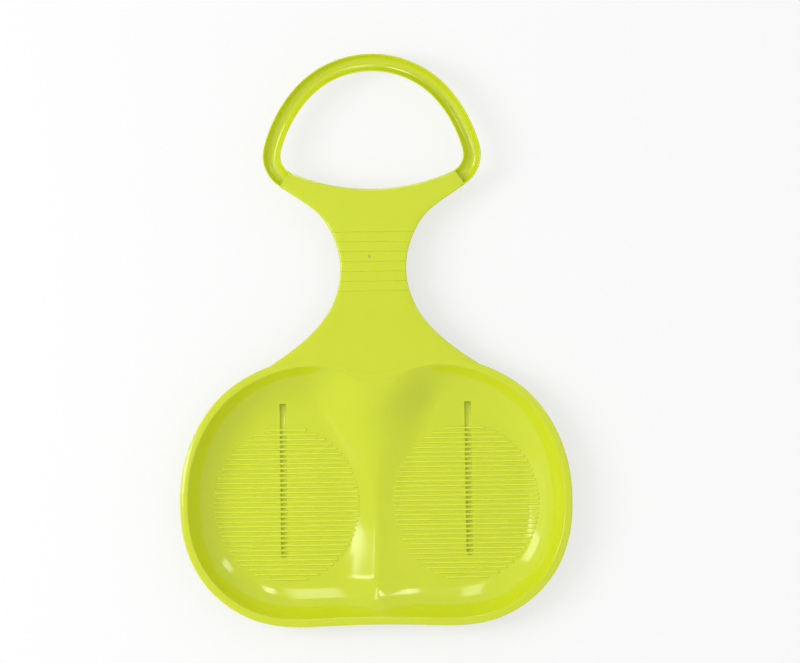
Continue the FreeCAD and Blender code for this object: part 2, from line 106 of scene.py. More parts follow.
# Runners, and the grooves above them in the shell
RUNNER_X = 90.3
RUNNER_Y = -136.5
RUNNER_LENGTH = 153.5
RUNNER_WIDTH = 9.5
RUNNER_TOP = 3.0
RUNNER_NOSE = 2.8
RUNNER_ROUNDING = 0.8
GROOVE_LENGTH = 149.5
GROOVE_WIDTH = 6.2
GROOVE_FLOOR = 3.3
GROOVE_MOUTH = 5.3
GROOVE_FLARE = 0.08
GROOVE_ROUNDING = 1.2
CUTTER_TOP = 12.0

# Neck: the points between are shares of the ways from the waist to the root and to the handle
NECK_ROOT = (118.0, -37.94)
WAIST = (32.2, 63.0)
NECK_LOWER_SHARES = [(0.139, 0.374), (0.429, 0.655), (0.722, 0.842)]
NECK_UPPER_SHARES = [(0.142, 0.47), (0.375, 0.702), (0.637, 0.84)]
NECK_FRONT = 146.0
STRAIGHT_FROM = 40.0
STRAIGHT_TO = 112.0
FLEX_LINES = [45.5 + 9.7 * k for k in range(7)]
FLEX_DEPTH = 0.4
FLEX_HALF = 0.5
GATE = (-3.6, 79.4)
GATE_RADIUS = 1.6
GATE_RISE = 0.1
GATE_ROUNDING = 0.35
GATE_DEPTH = 0.8
EDGE_SLOPE = 0.5
EDGE_BAND = 7.5
EDGE_ROUNDING = 1.2

# Handle: radii of the channel and of the hoop's three bends, and the angles that these turn
HOOP_RADIUS = 8.75
HOOP_WALL = 1.6
HOOP_TOP = 92.0
HOOP_FLANK = 131.0
HOOP_CORNER = 27.0
HOOP_TOP_TURN = 50.0
HOOP_FLANK_TURN = 26.0
HOOP_END_HEADING = 35.5
HOOP_LAND = 1.3
HOOP_END_WALL = 2.0

# Fineness of the meshes: spokes round the seat, which leave a spine across its middle
SPOKES = 512
SPINE_HALF = 100.0
SPINE_Y = -152.0
HOOP_STEP = 2.0
PROBE = 0.4
BLOCK = 4000
SHARP = math.radians(38)


# Curves

def smooth(at, points, wanted):
    """Places on a smooth curve that is at the given points for the given values."""
    steps = np.diff(at)
    matrix = np.eye(len(points))
    right = np.zeros_like(points)
    for i in range(1, len(points) - 1):
        matrix[i, i - 1:i + 2] = steps[i - 1], 2 * (steps[i - 1] + steps[i]), steps[i]
        slope_after = (points[i + 1] - points[i]) / steps[i]
        slope_before = (points[i] - points[i - 1]) / steps[i - 1]
        right[i] = 6 * (slope_after - slope_before)
    bend = np.linalg.solve(matrix, right)
    span = np.clip(np.searchsorted(at, wanted, side="right") - 1, 0, len(steps) - 1)
    length = steps[span][:, None]
    a = (at[span + 1] - wanted)[:, None] / length
    b = 1 - a
    return (a * points[span] + b * points[span + 1]
            + ((a ** 3 - a) * bend[span] + (b ** 3 - b) * bend[span + 1]) * length ** 2 / 6)


def through(points, count):
    """Points spread evenly along a smooth curve through the given points."""
    points = np.array(points, float)
    at = np.concatenate([[0.0], np.cumsum(np.hypot(*np.diff(points, axis=0).T))])
    return spread(smooth(at, points, np.linspace(0, at[-1], 40 * len(points))), count)


def spread(curve, count):
    """The same line with its points at even distances."""
    run = np.concatenate([[0.0], np.cumsum(np.hypot(*np.diff(curve, axis=0).T))])
    even = np.linspace(0, run[-1], count)
    return np.stack([np.interp(even, run, curve[:, k]) for k in (0, 1)], axis=1)


def mirrored(points):
    """The points on the other side of the middle plane."""
    return points * np.array([-1.0, 1.0])


def outward(loop):
    """Unit normals of a closed line that runs anticlockwise."""
    along = np.roll(loop, -1, axis=0) - np.roll(loop, 1, axis=0)
    along /= np.hypot(*along.T)[:, None]
    return np.stack([along[:, 1], -along[:, 0]], axis=1)


def seat_outline():
    """The lip's outer edge, from the rear middle anticlockwise."""
    half = [(across * SEAT_WIDTH / 2, REAR + along * SEAT_LENGTH) for across, along in OUTLINE_SHARES]
    wrapped = [(-x, y) for x, y in half[3:0:-1]] + half + [(-x, y) for x, y in half[-2:-5:-1]]
    curve = through(wrapped, 6000)
    first = np.argmin(np.hypot(*(curve - half[0]).T))
    last = np.argmin(np.hypot(*(curve - half[-1]).T))
    right = spread(curve[first:last + 1], SPOKES // 2 + 1)
    right[0, 0] = right[-1, 0] = 0.0
    return np.concatenate([right, mirrored(right)[-2:0:-1]])


OUTER = seat_outline()
OUT = outward(OUTER)
INNER = OUTER - OUT * LIP


def nearest(x, y, line):
    """Index of the line's nearest point for each place, found block by block to spare memory."""
    found = np.empty(x.shape, int)
    for start in range(0, x.size, BLOCK):
        part = slice(start, start + BLOCK)
        away = (x[part, None] - line[None, :, 0]) ** 2 + (y[part, None] - line[None, :, 1]) ** 2
        found[part] = away.argmin(axis=1)
    return found


# Handle's middle line

def hoop_line():
    """Middle line of the whole hoop from its right end, with the heading at each point."""
    headings = np.radians([HOOP_END_HEADING, 180 - HOOP_TOP_TURN - HOOP_FLANK_TURN, 180 - HOOP_TOP_TURN, 180])
    turns = []
    for radius, begin, end in zip((HOOP_CORNER, HOOP_FLANK, HOOP_TOP), headings, headings[1:]):
        count = int(radius * (end - begin) / HOOP_STEP) + 2
        turns += [(radius, h) for h in np.linspace(begin, end, count)[:-1]]
    turns.append((HOOP_TOP, math.pi))
    place = np.array([0.0, LENGTH / 2 - HOOP_RADIUS])
    line = [(place.copy(), math.pi)]
    for (radius, heading), (_, after) in zip(turns[-2::-1], turns[:0:-1]):
        place -= radius * np.array([math.sin(after) - math.sin(heading), math.cos(heading) - math.cos(after)])
        line.append((place.copy(), heading))
    right = line[::-1]
    ahead = np.array([math.cos(headings[0]), math.sin(headings[0])])
    run = HOOP_LAND + HOOP_END_WALL
    backs = (run, run - 0.7, run - 1.4, HOOP_LAND + 0.25, HOOP_LAND)
    stops = [(right[0][0] - ahead * back, headings[0]) for back in backs]
    right = stops + right
    left = [(place * [-1, 1], 2 * math.pi - heading) for place, heading in right[-2::-1]]
    return right + left, len(stops)


HOOP, HOOP_STOPS = hoop_line()
HOOP_SIDE = np.array([math.sin(HOOP[0][1]), -math.cos(HOOP[0][1])]) * HOOP_RADIUS
OUTER_CORNER = HOOP[0][0] + HOOP_SIDE
INNER_CORNER = HOOP[0][0] - HOOP_SIDE


# Neck's outline

def neck_side():
    """Right edge of the neck, from its root at the lip over the waist to the handle."""
    waist, root = np.array(WAIST), np.array(NECK_ROOT)
    lower = [waist + (root - waist) * share for share in reversed(NECK_LOWER_SHARES)]
    upper = [waist + (OUTER_CORNER - waist) * share for share in NECK_UPPER_SHARES]
    return through([root] + lower + [waist] + upper + [OUTER_CORNER], 700)


def front_arc(x):
    """Neck's front edge, a shallow arc between the inner corners of the handle."""
    sag = INNER_CORNER[1] - NECK_FRONT
    radius = (INNER_CORNER[0] ** 2 + sag ** 2) / (2 * sag)
    return NECK_FRONT + radius - np.sqrt(radius ** 2 - x ** 2)


def free_outline():
    """Edges of lip and neck that border on air, and where the neck's side leaves the lip."""
    side = neck_side()
    near = nearest(side[:, 0], side[:, 1], OUTER)
    outside = ((side - OUTER[near]) * OUT[near]).sum(axis=1)
    leave = int(np.argmax(outside > 0))
    lip_end = near[leave]
    lip = OUTER[:lip_end + 1]
    side = side[leave:]
    across = np.linspace(-INNER_CORNER[0], INNER_CORNER[0], 200)
    arc = np.stack([across, front_arc(across)], axis=1)
    right = np.concatenate([lip, side])
    return np.concatenate([right, mirrored(right), arc]), side, lip_end


FREE, SIDE, LIP_END = free_outline()


# Heights

def softened(distance, rounding):
    """Ramp that is 0 outside, the distance inside, and rounded between."""
    return (distance + np.sqrt(distance ** 2 + 4 * rounding ** 2)) / 2


def inside_seat(x, y):
    """Distance inside the lip's inner edge, and the edge's normal there."""
    near = nearest(x, y, INNER)
    out = OUT[near]
    return (INNER[near, 0] - x) * out[:, 0] + (INNER[near, 1] - y) * out[:, 1], out


def ridge_share(x, y):
    """Height of the ridge as a share of the seat's depth: arched in front, hollow-flanked behind."""
    front, rear = INNER[SPOKES // 2, 1], INNER[0, 1]
    way = np.clip((front - y) / (front - rear), 0, 1)
    shares = np.array(RIDGE_SHARES)
    station = smooth(shares[:, 0], shares[:, 1:], way)
    across = np.minimum(1.0, np.abs(2 * x / (station[:, 0] * SEAT_WIDTH)))
    arched = (1 - across ** 2) ** RIDGE_POWER
    down = np.hypot(across, CREST_SHARE) - CREST_SHARE
    hollowed = (1 - down / (math.hypot(1, CREST_SHARE) - CREST_SHARE)) ** 2
    turned = np.clip((way - HOLLOW_FROM_SHARE) / HOLLOW_OVER_SHARE, 0, 1)
    turned = turned ** 2 * (3 - 2 * turned)
    return station[:, 1] * (arched + (hollowed - arched) * turned)


def field_height(x, y):
    """Sunk and slightly crowned fields that carry the ribs, with a border that climbs to their edge."""
    across, along = np.abs(x) - FIELD_X, y - FIELD_Y
    inside = (1 - np.hypot(across / FIELD_WIDTH, along / FIELD_LENGTH)) * FIELD_WIDTH
    to_edge = softened(inside, FIELD_ROUNDING) / FIELD_WIDTH
    ribs = np.hypot(across / RIB_HALF_WIDTH, along / RIB_HALF_LENGTH)
    climb = to_edge / (to_edge + np.maximum(0.0, ribs - FIELD_BORDER_SHARE))
    crown = np.maximum(0.0, 1 - ribs ** 2)
    return -FIELD_SINK * (1 - (1 - climb) ** FIELD_BORDER_POWER) + FIELD_CROWN * crown


def bowl_drop(x, y):
    """Depth of the seat below the lip: a wall that runs out into the floor, less the ridge."""
    distance, out = inside_seat(x, y)
    end_run = np.where(out[:, 1] > 0, FRONT_RUN, REAR_RUN)
    run = SIDE_RUN * out[:, 0] ** 2 + end_run * out[:, 1] ** 2
    way = np.minimum(softened(distance, INNER_ROUNDING) / run, 1.0)
    wall = 1 - (1 - way) ** WALL_POWER
    return DEPTH * wall * (1 - ridge_share(x, y))


def edge_drop(x, y):
    """Slight slope and rounding towards the free edges."""
    near = nearest(x, y, FREE)
    away = np.hypot(x - FREE[near, 0], y - FREE[near, 1])
    slope = EDGE_SLOPE * np.clip(1 - away / EDGE_BAND, 0, 1) ** 2
    turn = np.clip(1 - away / EDGE_ROUNDING, 0, 1)
    return slope + EDGE_ROUNDING * (1 - np.sqrt(1 - turn ** 2))


def flex_drop(y):
    """Depth of the flex lines."""
    away = np.min(np.abs(y[:, None] - np.array(FLEX_LINES)[None, :]), axis=1)
    return FLEX_DEPTH * np.clip(1 - away / FLEX_HALF, 0, 1)


def deck(x, y):
    """Top of lip and neck."""
    return RIM - edge_drop(x, y) - bowl_drop(x, y) - np.where(y > 0, flex_drop(y), 0)


def seat_top(x, y):
    """Top of the dished seat."""
    return RIM - edge_drop(x, y) - bowl_drop(x, y) + field_height(x, y)


def behind(height, x, y, thickness):
    """Height of a face one thickness behind the given one."""
    slope_x = (height(x + PROBE, y) - height(x - PROBE, y)) / (2 * PROBE)
    slope_y = (height(x, y + PROBE) - height(x, y - PROBE)) / (2 * PROBE)
    return height(x, y) - thickness * np.sqrt(1 + slope_x ** 2 + slope_y ** 2)


# Mesh helpers

def shown(bm, name):
    """Object in the scene with the mesh."""
    mesh = bpy.data.meshes.new(name)
    bm.to_mesh(mesh)
    bm.free()
    item = bpy.data.objects.new(name, mesh)
    bpy.context.scene.collection.objects.link(item)
    return item


def finished(bm, name, nodes, material, merge=1e-6):
    """A piece from the mesh, standing for the CAD nodes of the same place."""
    bmesh.ops.remove_doubles(bm, verts=bm.verts, dist=merge)
    bmesh.ops.dissolve_degenerate(bm, edges=bm.edges, dist=merge)
    bmesh.ops.recalc_face_normals(bm, faces=bm.faces)
    for face in bm.faces:
        face.smooth = True
    for edge in bm.edges:
        edge.smooth = edge.calc_face_angle(0.0) < SHARP
    piece = shown(bm, name)
    piece.data.materials.append(material)
    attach(piece, "root")
    if nodes:
        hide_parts(*nodes)
    return piece


def laid(rows):
    """A grid of faces over the rows of places, all rows equally long."""
    rows = np.array(rows) * MM
    bm = bmesh.new()
    bmesh.ops.create_grid(bm, x_segments=rows.shape[1] - 1, y_segments=rows.shape[0] - 1, size=1.0)
    for vert, place in zip(bm.verts, rows.reshape(-1, 3)):
        vert.co = place
    return bm


def closed_row(row):
    """The row with its first place once more at its end."""
    return np.concatenate([row, row[:1]])


def placed(xy, z):
    """Places in space, from places on the plane and one height or several."""
    return np.concatenate([xy, np.broadcast_to(z, len(xy))[:, None]], axis=1)


# Seat

def seat_rows():
    """Rows round the shell: out over the top face, down at the edge and back below."""
    turn = 2 * math.pi * np.arange(SPOKES) / SPOKES
    spine = np.stack([SPINE_HALF * np.sin(turn), np.full(SPOKES, SPINE_Y)], axis=1)
    near_edge = [0.0, 0.1, 0.25, 0.5, 0.85, 1.3, 1.9, 2.6, 3.5, 4.5, 5.7, 7.0, 8.4]
    top_percents = near_edge + list(np.arange(10.0, 100.0, 1.5)) + [100.0]
    near_edge = [0.0, 1.0, 2.5, 4.5, 7.0, 10.0, 13.5, 17.5, 22.0, 27.0, 33.0]
    under_percents = near_edge + list(np.arange(40.0, 101.0, 6.0))
    rows = []
    for percent in reversed(top_percents):
        xy = spine + (INNER - spine) * (1 - percent / 100.0)
        rows.append(closed_row(placed(xy, seat_top(*xy.T))))
    for percent in under_percents:
        xy = spine + (INNER - spine) * (1 - percent / 100.0)
        rows.append(closed_row(placed(xy, behind(seat_top, *xy.T, WALL))))
    return rows


def box_mesh(low, high):
    """Block between two opposite corners."""
    bm = bmesh.new()
    size = Matrix.Diagonal((*(Vector(high) - Vector(low)) * MM, 1.0))
    middle = (Vector(high) + Vector(low)) / 2
    bmesh.ops.create_cube(bm, size=1.0, matrix=Matrix.Translation(middle * MM) @ size)
    return bm


def rounded(bm, edges, radius, segments=4):
    """Rounds the edges of the mesh."""
    bmesh.ops.bevel(bm, geom=edges, offset=radius * MM, segments=segments, profile=0.5,
                    affect="EDGES", material=-1)


def groove_cutter(side):
    """Block with slanting sides that leaves a groove with a rounded bottom."""
    narrowing = GROOVE_FLARE * (GROOVE_MOUTH - GROOVE_FLOOR)
    flare = GROOVE_FLARE * (CUTTER_TOP - GROOVE_FLOOR) * MM
    half_width = GROOVE_WIDTH / 2 - narrowing
    half_length = GROOVE_LENGTH / 2 - narrowing
    x, y = side * RUNNER_X, RUNNER_Y
    cutter = box_mesh((x - half_width, y - half_length, GROOVE_FLOOR),
                      (x + half_width, y + half_length, CUTTER_TOP))
    for vert in cutter.verts:
        if vert.co.z > GROOVE_MOUTH * MM:
            vert.co.x += math.copysign(flare, vert.co.x - x * MM)
            vert.co.y += math.copysign(flare, vert.co.y - y * MM)
    below_top = [edge for edge in cutter.edges if min(v.co.z for v in edge.verts) < GROOVE_MOUTH * MM]
    rounded(cutter, below_top, GROOVE_ROUNDING, segments=5)
    return cutter


def cut_grooves(bm):
    """The shell with the two long grooves over the runners cut into it."""
    shell = shown(bm, "shell")
    cutters = [shown(groove_cutter(side), "groove") for side in (-1, 1)]
    for cutter in cutters:
        change = shell.modifiers.new("groove", "BOOLEAN")
        change.object = cutter
        change.operation = "DIFFERENCE"
        change.solver = "EXACT"
    view = bpy.context.evaluated_depsgraph_get()
    cut = bpy.data.meshes.new_from_object(shell.evaluated_get(view))
    grooved = bmesh.new()
    grooved.from_mesh(cut)
    bpy.data.meshes.remove(cut)
    for item in [shell] + cutters:
        mesh = item.data
        bpy.data.objects.remove(item)
        bpy.data.meshes.remove(mesh)
    return grooved


def make_seat(material):
    """Dished shell with both hollows, the ridge and the grooves."""
    bm = laid(seat_rows())
    bmesh.ops.remove_doubles(bm, verts=bm.verts, dist=1e-6)
    bmesh.ops.recalc_face_normals(bm, faces=bm.faces)
    return finished(cut_grooves(bm), "dished_seat", ["left_hollow", "seat_ridge", "right_hollow"], material)


def make_rim(material):
    """Lip round the seat, and the collar that stands below it."""
    rows = []
    steps_out = (0.0, 0.1, 0.25, 0.5, 0.85, 1.3, 2.0, 3.0, 4.0, 5.0, 5.8, 6.3, 6.7, 7.0, 7.2, 7.35, 7.45, LIP)
    for away in steps_out:
        xy = INNER + OUT * away
        rows.append(placed(xy, deck(*xy.T)))
    foot = RIM - PLATE
    below = [(LIP, foot + 0.5), (LIP - 0.15, foot + 0.15), (LIP - 0.5, foot), (COLLAR + 0.8, foot),
             (COLLAR + 0.2, foot - 0.2), (COLLAR, foot - 0.8), (COLLAR, COLLAR_FOOT + 0.6),
             (COLLAR - 0.6, COLLAR_FOOT), (0.6, COLLAR_FOOT), (0.0, COLLAR_FOOT + 0.6)]
    for away, height in below:
        rows.append(placed(INNER + OUT * away, height))
    rows.append(rows[0])
    return finished(laid([closed_row(row) for row in rows]), "rolled_lip", ["rim_lip"], material)


# Ribs

def make_ribs(side, name, node, material):
    """Rounded ribs across one hollow, which fill an ellipse and follow the floor."""
    half = RIB_WIDTH / 2
    rear = [(-half * across, RIB_HEIGHT * rise) for across, rise in zip(RIB_SIDE_SHARES, RIB_RISE_SHARES)]
    front = [(-offset, height) for offset, height in reversed(rear)]
    profile = [(-half, -RIB_ROOT)] + rear + front + [(half, -RIB_ROOT)]
    count = int(RIB_HALF_LENGTH / RIB_PITCH + 0.5)
    bm = bmesh.new()
    for row in range(-count, count):
        away = (row + 0.5) * RIB_PITCH
        chord = RIB_HALF_WIDTH * math.sqrt(1 - (away / RIB_HALF_LENGTH) ** 2)
        steps = int(2 * chord / RIB_STEP) + 2
        middle = np.linspace(2 * RIB_END - chord, chord - 2 * RIB_END, steps)
        near_end = RIB_END * np.array([0.0, 0.35, 1.0])
        x = np.concatenate([near_end - chord, middle, chord - near_end[::-1]])
        ends = np.minimum(1.0, RIB_END_SHARE + np.sqrt(np.clip((chord - np.abs(x)) / RIB_END, 0, 1)))
        x = side * FIELD_X + x
        y = np.full(len(x), FIELD_Y + away)
        floor = seat_top(x, y)
        rows = [np.stack([x, y + offset, floor + (height * ends if height > 0 else height)], axis=1)
                for offset, height in profile]
        rib = laid(rows + rows[:1])
        bmesh.ops.remove_doubles(rib, verts=rib.verts, dist=1e-7)
        bmesh.ops.holes_fill(rib, edges=[edge for edge in rib.edges if edge.is_boundary], sides=0)
        bmesh.ops.recalc_face_normals(rib, faces=rib.faces)
        mesh = bpy.data.meshes.new("rib")
        rib.to_mesh(mesh)
        rib.free()
        bm.from_mesh(mesh)
        bpy.data.meshes.remove(mesh)
    return finished(bm, name, [node], material, merge=1e-7)


# Runners

def make_runner(side, name, node, material):
    """Bar under the shell, with turned-up ends and a rounded sole."""
    half_width, half_length = RUNNER_WIDTH / 2, RUNNER_LENGTH / 2
    middle = side * RUNNER_X
    bm = box_mesh((middle - half_width, RUNNER_Y - half_length, 0.0),
                  (middle + half_width, RUNNER_Y + half_length, RUNNER_TOP))
    noses = [edge for edge in bm.edges
             if max(v.co.z for v in edge.verts) < 0.1 * MM
             and abs(edge.verts[0].co.y - edge.verts[1].co.y) < 0.1 * MM]
    rounded(bm, noses, RUNNER_NOSE, segments=8)
    soles = [edge for edge in bm.edges
             if max(v.co.z for v in edge.verts) < 0.1 * MM and edge.calc_face_angle(0.0) > 1.2]
    rounded(bm, soles, RUNNER_ROUNDING)
    return finished(bm, name, [node], material)


# Neck

def neck_rows():
    """Rows across the neck, from the lip's outer edge to the front edge."""
    corner_y, inner_y = OUTER_CORNER[1], INNER_CORNER[1]
    beside_flex = (-1.6, -FLEX_HALF, -0.4, 0.0, 0.4, FLEX_HALF, 1.6)
    places = list(np.linspace(SIDE[0, 1], STRAIGHT_FROM, 44))
    places += [middle + away for middle in FLEX_LINES for away in beside_flex]
    places += list(np.linspace(STRAIGHT_TO, corner_y, 22))
    places += list(np.linspace(corner_y, inner_y, 10)[1:-1])
    places += [inner_y - before for before in (0.8, 0.35, 0.1, 0.0)]
    near_edge = np.array([0.0, 0.0015, 0.004, 0.008, 0.014, 0.022, 0.034, 0.05, 0.08, 0.12, 0.17])
    half = np.concatenate([1 - near_edge, np.linspace(0.78, 0.0, 22)])
    share = np.concatenate([-half, half[-2::-1]])
    side_x = np.concatenate([SIDE[:, 0], [INNER_CORNER[0]]])
    side_y = np.concatenate([SIDE[:, 1], [INNER_CORNER[1]]])
    start_x, start_y = SIDE[0]
    front_lip = OUTER[LIP_END:SPOKES // 2 + 1][::-1]
    rows = []
    for place in sorted(places):
        x = share * np.interp(place, side_y, side_x)
        y = np.full(len(share), float(place))
        if place < STRAIGHT_FROM:
            weight = (STRAIGHT_FROM - place) / (STRAIGHT_FROM - start_y)
            lip_y = np.interp(np.abs(share * start_x), front_lip[:, 0], front_lip[:, 1])
            y += weight * (lip_y - start_y)
        if place > STRAIGHT_TO:
            weight = (place - STRAIGHT_TO) / (inner_y - STRAIGHT_TO)
            y += weight * (front_arc(share * INNER_CORNER[0]) - inner_y)
        rows.append(placed(np.stack([x, y], axis=1), deck(x, y)))
    return rows


def make_neck(material):
    """Flat neck, whose top is laid out row by row and drawn down to a flat underside."""
    bm = laid(neck_rows())
    copy = bmesh.ops.extrude_face_region(bm, geom=bm.faces[:], use_keep_orig=True)
    for item in copy["geom"]:
        if isinstance(item, bmesh.types.BMVert):
            item.co.z = (RIM - PLATE) * MM
    return finished(bm, "flat_neck", ["neck_plate"], material)


# Handle

def make_hoop(material):
    """Half-round channel, open upwards, with a wall across each end."""
    outer = np.linspace(0, -math.pi, 33)
    inner = outer[::-1][1:-1]
    tip = 0.5 * HOOP_WALL
    side = [HOOP_RADIUS * math.cos(a) for a in outer]
    drop = [HOOP_RADIUS * math.sin(a) for a in outer]
    side[0], drop[0] = HOOP_RADIUS - 0.05, -tip
    side[-1], drop[-1] = 0.05 - HOOP_RADIUS, -tip
    channel = HOOP_RADIUS - HOOP_WALL
    rim = [(0.35, -0.25), (0.8, 0.0), (1.25, -0.25)]
    section = list(zip(side, drop, [0] * len(side)))
    section += [(away - HOOP_RADIUS, fall, 0) for away, fall in rim]
    section += [(channel * math.cos(a), channel * math.sin(a), 1) for a in inner]
    section += [(HOOP_RADIUS - away, fall, 0) for away, fall in reversed(rim)]
    section = np.array(section)
    rows = []
    for index, (place, heading) in enumerate(HOOP):
        from_end = min(index, len(HOOP) - 1 - index)
        depth = 0.0 if from_end < HOOP_STOPS - 1 else 1.0
        normal = np.array([math.sin(heading), -math.cos(heading)])
        xy = place + section[:, :1] * normal
        fall = section[:, 1] * np.where(section[:, 2] > 0, depth, 1.0)
        rows.append(placed(xy, RIM - 0.02 + fall))
    bm = laid([closed_row(row) for row in rows])
    bmesh.ops.remove_doubles(bm, verts=bm.verts, dist=1e-7)
    bmesh.ops.holes_fill(bm, edges=[edge for edge in bm.edges if edge.is_boundary], sides=0)
    return finished(bm, "handle_channel", ["handle_hoop"], material)


# Mark where the plastic was let into the mould

def make_gate_mark(material):
    """Low disc with a rounded upper edge, let into the neck."""
    bm = bmesh.new()
    middle = Vector((*GATE, RIM + GATE_RISE - GATE_DEPTH / 2)) * MM
    radius = GATE_RADIUS * MM
    bmesh.ops.create_cone(bm, cap_ends=True, segments=40, radius1=radius, radius2=radius,
                          depth=GATE_DEPTH * MM, matrix=Matrix.Translation(middle))
    top = [edge for edge in bm.edges if min(v.co.z for v in edge.verts) > RIM * MM]
    rounded(bm, top, GATE_ROUNDING)
    return finished(bm, "gate_mark", [], material)


# Finish

def shared_group(name, outputs):
    """Empty node group that takes a place and gives the named outputs."""
    group = bpy.data.node_groups.new(name, "ShaderNodeTree")
    group.interface.new_socket(name="Place", in_out="INPUT", socket_type="NodeSocketVector")
    for label, kind in outputs:
        group.interface.new_socket(name=label, in_out="OUTPUT", socket_type=kind)
    place = group.nodes.new("NodeGroupInput").outputs["Place"]
    return group, place, group.nodes.new("NodeGroupOutput").inputs


def noise(tree, place, scale, detail=3.0, stretch=(1.0, 1.0, 1.0)):
    """Cloudy value from 0 to 1, with the scale in swings per metre."""
    mapping = tree.nodes.new("ShaderNodeMapping")
    mapping.inputs["Scale"].default_value = stretch
    texture = tree.nodes.new("ShaderNodeTexNoise")
    texture.inputs["Scale"].default_value = scale
    texture.inputs["Detail"].default_value = detail
    tree.links.new(place, mapping.inputs["Vector"])
    tree.links.new(mapping.outputs["Vector"], texture.inputs["Vector"])
    return texture.outputs[0]


def between(tree, value, low, high, first=0.0, second=1.0):
    """The value's way from low to high, carried over to first and second."""
    node = tree.nodes.new("ShaderNodeMapRange")
    for label, setting in (("From Min", low), ("From Max", high), ("To Min", first), ("To Max", second)):
        node.inputs[label].default_value = setting
    tree.links.new(value, node.inputs["Value"])
    return node.outputs["Result"]


def joined(tree, kind, first, second):
    """Two values added, multiplied and so on."""
    node = tree.nodes.new("ShaderNodeMath")
    node.operation = kind
    for socket, value in zip(node.inputs, (first, second)):
        if isinstance(value, float):
            socket.default_value = value
        else:
            tree.links.new(value, socket)
    return node.outputs[0]


def mixed(tree, share, first, second):
    """Colour between the first and the second."""
    node = tree.nodes.new("ShaderNodeMix")
    node.data_type = "RGBA"
    for label, value in (("Factor", share), ("A", first), ("B", second)):
        sockets = [socket for socket in node.inputs if socket.name == label and socket.enabled]
        if isinstance(value, tuple):
            sockets[0].default_value = value
        else:
            tree.links.new(value, sockets[0])
    return [socket for socket in node.outputs if socket.enabled][0]


def mould_surface():
    """Height of the mould's fine grain and of the slight waves that the plastic shrinks into."""
    group, place, out = shared_group("mould_surface", [("Height", "NodeSocketFloat")])
    grain = joined(group, "MULTIPLY", noise(group, place, 1500.0, 2.0), 0.12)
    waves = noise(group, place, 34.0, 1.0)
    group.links.new(joined(group, "ADD", grain, waves), out["Height"])
    return group


def flow_tint():
    """Colour of the plastic, with the faint streaks that it flowed in along the part."""
    group, place, out = shared_group("flow_tint", [("Color", "NodeSocketColor")])
    clouds = between(group, noise(group, place, 9.0), 0.35, 0.65)
    streaks = between(group, noise(group, place, 60.0, 4.0, (1.0, 0.12, 1.0)), 0.42, 0.7, 0.0, 0.5)
    tone = mixed(group, clouds, (0.592, 0.672, 0.0125, 1.0), (0.606, 0.690, 0.0155, 1.0))
    group.links.new(mixed(group, streaks, tone, (0.612, 0.688, 0.020, 1.0)), out["Color"])
    return group


def scuffs():
    """How much the gloss is rubbed by handling: soft patches and a few fine scratches."""
    group, place, out = shared_group("scuffs", [("Mask", "NodeSocketFloat")])
    patches = between(group, noise(group, place, 28.0, 5.0), 0.45, 0.8, 0.0, 0.55)
    along = between(group, noise(group, place, 260.0, 2.0, (1.0, 0.05, 1.0)), 0.68, 0.76)
    across = between(group, noise(group, place, 240.0, 2.0, (0.06, 1.0, 1.0)), 0.70, 0.78)
    scratches = joined(group, "MAXIMUM", along, across)
    group.links.new(joined(group, "ADD", patches, joined(group, "MULTIPLY", scratches, 0.35)), out["Mask"])
    return group


def sole_wear():
    """Where the ground rubs: the lowest millimetre, in uneven patches."""
    group, place, out = shared_group("sole_wear", [("Mask", "NodeSocketFloat")])
    parts = group.nodes.new("ShaderNodeSeparateXYZ")
    group.links.new(place, parts.inputs[0])
    low = between(group, parts.outputs["Z"], 0.0004, 0.0013, 1.0, 0.0)
    uneven = between(group, noise(group, place, 320.0, 4.0, (1.0, 0.15, 1.0)), 0.3, 0.6, 0.25, 1.0)
    group.links.new(joined(group, "MULTIPLY", low, uneven), out["Mask"])
    return group


def moulded_plastic(name, groups, roughness, rubbed_roughness, other_tone=(0.0, 0.0, 0.0, 1.0), share=0.0):
    """Lime polyethylene, as rough as given where whole and where rubbed, with a share of another tone."""
    material = bpy.data.materials.new(name)
    material.use_nodes = True
    tree = material.node_tree
    place = tree.nodes.new("ShaderNodeTexCoord").outputs["Object"]
    results = {}
    for group in groups:
        node = tree.nodes.new("ShaderNodeGroup")
        node.node_tree = group
        tree.links.new(place, node.inputs["Place"])
        results[group.name] = node.outputs[0]
    shader = tree.nodes["Principled BSDF"]
    worn = results["sole_wear"]
    rubbed = mixed(tree, joined(tree, "MULTIPLY", worn, 0.6), results["flow_tint"], (0.66, 0.70, 0.13, 1.0))
    other_share = tree.nodes.new("ShaderNodeValue").outputs[0]
    other_share.default_value = share
    tree.links.new(mixed(tree, other_share, rubbed, other_tone), shader.inputs["Base Color"])
    rough = between(tree, results["scuffs"], 0.0, 1.0, roughness, rubbed_roughness)
    rough = joined(tree, "ADD", rough, joined(tree, "MULTIPLY", worn, 0.3))
    tree.links.new(rough, shader.inputs["Roughness"])
    bump = tree.nodes.new("ShaderNodeBump")
    bump.inputs["Strength"].default_value = 0.5
    bump.inputs["Distance"].default_value = 0.0002
    tree.links.new(results["mould_surface"], bump.inputs["Height"])
    tree.links.new(bump.outputs["Normal"], shader.inputs["Normal"])
    shader.inputs["Subsurface Weight"].default_value = 0.25
    shader.inputs["Subsurface Radius"].default_value = (1.0, 1.0, 0.15)
    shader.inputs["Subsurface Scale"].default_value = 0.002
    shader.inputs["IOR"].default_value = 1.52
    return material


# Room, light and camera

